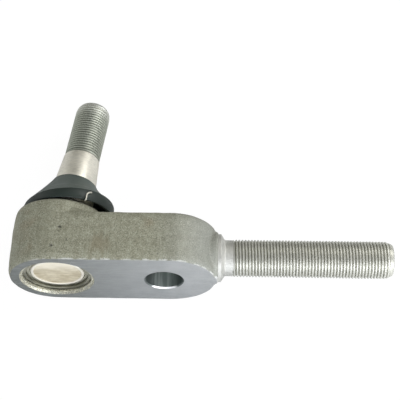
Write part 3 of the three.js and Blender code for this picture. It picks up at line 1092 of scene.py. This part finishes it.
lower_boot = boot_between(
    "dust_boot_lower",
    [
        lip_ring(LIP_FOOT, LIP_RADIUS - 0.3),
        lip_ring(LIP_FOOT + 0.35, LIP_RADIUS),
        lip_ring(LIP_TOP - 0.6, LIP_RADIUS, LIP_TOP_AXIS),
        lip_ring(LIP_TOP - 0.1, LIP_RADIUS - 0.2, LIP_TOP_AXIS),
        lip_ring(LIP_TOP, LIP_RADIUS - 0.5, LIP_TOP_AXIS),
        *[cone(s) for s in lower_shares],
        *[cone(s, WALL) for s in reversed(lower_shares)],
        lip_ring(LIP_TOP - 1.5, LIP_RADIUS - 2.7, LIP_TOP_AXIS),
        lip_ring(LIP_TOP - 3.0, LIP_RADIUS - 2.4, LIP_TOP_AXIS),
        lip_ring(LIP_Y + 2.0, INNER_LIP),
        lip_ring(LIP_Y + 1.6, INNER_LIP + 0.05),
        lip_ring(LIP_Y + 1.6, LIP_RADIUS - 1.0),
        lip_ring(LIP_FOOT, LIP_RADIUS - 0.9),
    ],
)
upper_boot = boot_between(
    "dust_boot_upper",
    [
        *[cone(s) for s in (SPLIT, *upper_shares)],
        neck_level(BOOT_TOP - 1.3, 15.7),
        neck_level(BOOT_TOP - 0.5, 15.5),
        neck_level(BOOT_TOP, 15.0),
        neck_level(BOOT_TOP, taper_radius(BOOT_TOP) + 0.2),
        neck_level(42.7, taper_radius(42.7) + 0.25),
        neck_level(42.3, 16.3),
        neck_level(39.3, 16.3),
        neck_level(38.9, taper_radius(38.9) + 0.3),
        neck_level(37.7, taper_radius(37.7) + 0.4),
        *[cone(s, WALL) for s in reversed((SPLIT, *upper_shares[:-1]))],
    ],
)
for piece in (lower_boot, upper_boot):
    dress(piece, BOOT, None, "boot_rubber", sharp_degrees=50)
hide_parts("dust_boot")


def point_in_row(place):
    return BALL + Vector(place) * MM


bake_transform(lower_boot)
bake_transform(upper_boot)


# ---------------------------------------------------------------- lip wire


def lip_wire():
    """Spring wire in the slot under the lip, its free end curled up outside."""
    radius, ring_radius = 0.5, LIP_RADIUS - 1.7
    ring_y = LIP_Y + radius + 0.3

    def place(r, y, degrees):
        angle = math.radians(degrees)
        return Vector((LIP_X + r * math.cos(angle), y, r * math.sin(angle)))

    exit_angle, sweep, steps = 61.8, 358, 140
    path = [
        place(ring_radius, ring_y, exit_angle - sweep + sweep * i / steps)
        for i in range(steps + 1)
    ]
    tail = [
        place(ring_radius + 0.1, LIP_Y - 1.2, exit_angle + 0.6),
        place(LIP_RADIUS + 0.7, LIP_Y - 1.5, exit_angle + 0.3),
        place(LIP_RADIUS + 1.2, LIP_Y - 0.4, exit_angle),
        place(LIP_RADIUS + 1.1, LIP_Y + 1.6, exit_angle),
        place(LIP_RADIUS + 1.0, LIP_Y + 3.2, exit_angle - 0.6),
        place(LIP_RADIUS + 1.0, LIP_Y + 4.4, exit_angle - 3.0),
        place(LIP_RADIUS + 0.8, LIP_Y + 5.0, exit_angle - 6.5),
    ]
    data = bpy.data.curves.new("lip_wire_path", "CURVE")
    data.dimensions = "3D"
    data.bevel_depth = radius * MM
    data.bevel_resolution = 4
    data.use_fill_caps = True
    data.resolution_u = 6
    spline = data.splines.new("NURBS")
    spline.points.add(len(path) + len(tail) - 1)
    spline.order_u = 4
    spline.use_endpoint_u = True
    for point, where in zip(spline.points, [*path, *tail]):
        point.co = (*point_in_row(where), 1)
    wire = bpy.data.objects.new("boot_lip_wire_piece", data)
    bpy.context.scene.collection.objects.link(wire)
    depsgraph = bpy.context.evaluated_depsgraph_get()
    mesh = bpy.data.meshes.new_from_object(wire.evaluated_get(depsgraph))
    bpy.data.objects.remove(wire)
    bpy.data.curves.remove(data)
    solid = bpy.data.objects.new("boot_lip_wire_piece", mesh)
    bpy.context.scene.collection.objects.link(solid)
    return solid


dress(lip_wire(), WIRE, "rod_end", "lip_wire", "boot_lip_wire", sharp_degrees=60)


# ---------------------------------------------------------------- floor, light, camera


def pale_floor():
    """White to the camera with a faint shadow; a plain pale floor to everything else."""
    n = Nodes("pale_floor")
    cloud = n.noise(400, detail=2)
    n.set(
        base_color=n.mix(n.ramp(cloud, 0.3, 0.7), (0.88, 0.89, 0.91), (0.91, 0.92, 0.94)),
        roughness=0.9,
    )
    glow = n.tree.nodes.new("ShaderNodeEmission")
    glow.inputs["Color"].default_value = (1, 1, 1, 1)
    glow.inputs["Strength"].default_value = 1.03
    seen = n.tree.nodes.new("ShaderNodeLightPath").outputs["Is Camera Ray"]
    blend = n.tree.nodes.new("ShaderNodeMixShader")
    n.link(n.math("MULTIPLY", seen, 0.94), blend.inputs[0])
    n.link(n.shader.outputs["BSDF"], blend.inputs[1])
    n.link(glow.outputs["Emission"], blend.inputs[2])
    n.link(blend.outputs["Shader"], n.out.inputs["Surface"])
    return n.material


floor_mesh = bpy.data.meshes.new("floor")
work = bmesh.new()
bmesh.ops.create_circle(work, cap_ends=True, radius=6.0, segments=96)
work.to_mesh(floor_mesh)
work.free()
floor = bpy.data.objects.new("floor", floor_mesh)
bpy.context.scene.collection.objects.link(floor)
floor.location.z = -0.0002
floor_mesh.materials.append(pale_floor())

ROOM = {  # linear colour of the light from each side of the studio
    "back": (0.22, 0.22, 0.195),
    "above": (0.27, 0.27, 0.25),
    "front": (1.02, 1.07, 1.18),
    "right": (0.36, 0.37, 0.37),
    "left": (0.50, 0.51, 0.49),
}


def studio_world():
    """Soft room light, bright and cool at the front, dimmer and warmer above and behind."""
    world = bpy.data.worlds.new("studio")
    world.use_nodes = True
    tree = world.node_tree
    tree.nodes.clear()
    place = tree.nodes.new("ShaderNodeTexCoord").outputs["Generated"]
    axes = tree.nodes.new("ShaderNodeSeparateXYZ")
    tree.links.new(place, axes.inputs["Vector"])

    def ramp(socket, low, high):
        node = tree.nodes.new("ShaderNodeMapRange")
        node.interpolation_type = "SMOOTHSTEP"
        node.inputs["From Min"].default_value = low
        node.inputs["From Max"].default_value = high
        tree.links.new(axes.outputs[socket], node.inputs["Value"])
        return node.outputs["Result"]

    def mixed(factor, a, b):
        node = tree.nodes.new("ShaderNodeMix")
        node.data_type = "RGBA"
        tree.links.new(factor, node.inputs["Factor"])
        for key, value in (("A", a), ("B", b)):
            if isinstance(value, tuple):
                node.inputs[key].default_value = (*value, 1)
            else:
                tree.links.new(value, node.inputs[key])
        return node.outputs["Result"]

    colour = mixed(ramp("Z", 0.1, 0.9), ROOM["back"], ROOM["above"])
    colour = mixed(ramp("X", 0.2, 1.0), colour, ROOM["right"])
    colour = mixed(ramp("X", -0.3, -0.95), colour, ROOM["left"])
    colour = mixed(ramp("Y", -0.55, -0.97), colour, ROOM["front"])
    lit = tree.nodes.new("ShaderNodeBackground")
    tree.links.new(colour, lit.inputs["Color"])
    backdrop = tree.nodes.new("ShaderNodeBackground")
    backdrop.inputs["Color"].default_value = (1, 1, 1, 1)
    blend = tree.nodes.new("ShaderNodeMixShader")
    seen = tree.nodes.new("ShaderNodeLightPath").outputs["Is Camera Ray"]
    tree.links.new(seen, blend.inputs[0])
    tree.links.new(lit.outputs["Background"], blend.inputs[1])
    tree.links.new(backdrop.outputs["Background"], blend.inputs[2])
    output = tree.nodes.new("ShaderNodeOutputWorld")
    tree.links.new(blend.outputs["Shader"], output.inputs["Surface"])
    return world


bpy.context.scene.world = studio_world()


def softbox(name, direction, distance, width, height, power, colour):
    """A rectangular light that faces the part's middle from a direction."""
    data = bpy.data.lights.new(name, "AREA")
    data.shape = "RECTANGLE"
    data.size, data.size_y = width, height
    data.energy = power
    data.color = colour
    lamp = bpy.data.objects.new(name, data)
    bpy.context.scene.collection.objects.link(lamp)
    away = Vector(direction).normalized()
    lamp.location = Vector((0, 0, 0.03)) + away * distance
    lamp.rotation_euler = away.to_track_quat("Z", "Y").to_euler()


softbox("front_box", (0.25, -1.0, 0.25), 0.9, 1.1, 0.40, 4.6, (0.95, 0.97, 1.0))
softbox("top_box", (0.72, 0.45, 0.85), 1.0, 0.6, 0.6, 5.4, (1.0, 0.99, 0.96))
softbox("left_box", (-1.0, 0.30, 0.45), 0.7, 0.5, 0.4, 0.5, (1.0, 1.0, 0.98))
softbox("right_box", (0.85, -0.75, 0.45), 0.5, 0.35, 0.35, 1.1, (0.98, 0.98, 1.0))

AZIMUTH, ELEVATION = 0.9, 60.5  # degrees, the direction that the camera looks from
DISTANCE = 650.0
VIEW_WIDTH = 259.74  # at the ball's distance
VIEW_CENTRE = (90.948, 29.442)  # to the right of the ball and above it, in the picture
SENSOR = 36.0


def camera():
    a, e = math.radians(AZIMUTH), math.radians(ELEVATION)
    back = Vector((math.sin(a) * math.cos(e), -math.cos(a) * math.cos(e), math.sin(e)))
    right = Vector((math.cos(a), math.sin(a), 0))
    up = back.cross(right)
    across, above = VIEW_CENTRE
    data = bpy.data.cameras.new("camera")
    data.sensor_width = SENSOR
    data.lens = SENSOR * DISTANCE / VIEW_WIDTH
    data.clip_start, data.clip_end = 0.01, 20.0
    cam = bpy.data.objects.new("camera", data)
    bpy.context.scene.collection.objects.link(cam)
    cam.location = BALL + (right * across + up * above + back * DISTANCE) * MM
    cam.rotation_mode = "QUATERNION"
    basis = Matrix((right, up, back)).transposed()
    cam.rotation_quaternion = basis.to_quaternion()
    bpy.context.scene.camera = cam


camera()
bpy.context.scene.view_settings.view_transform = "Standard"
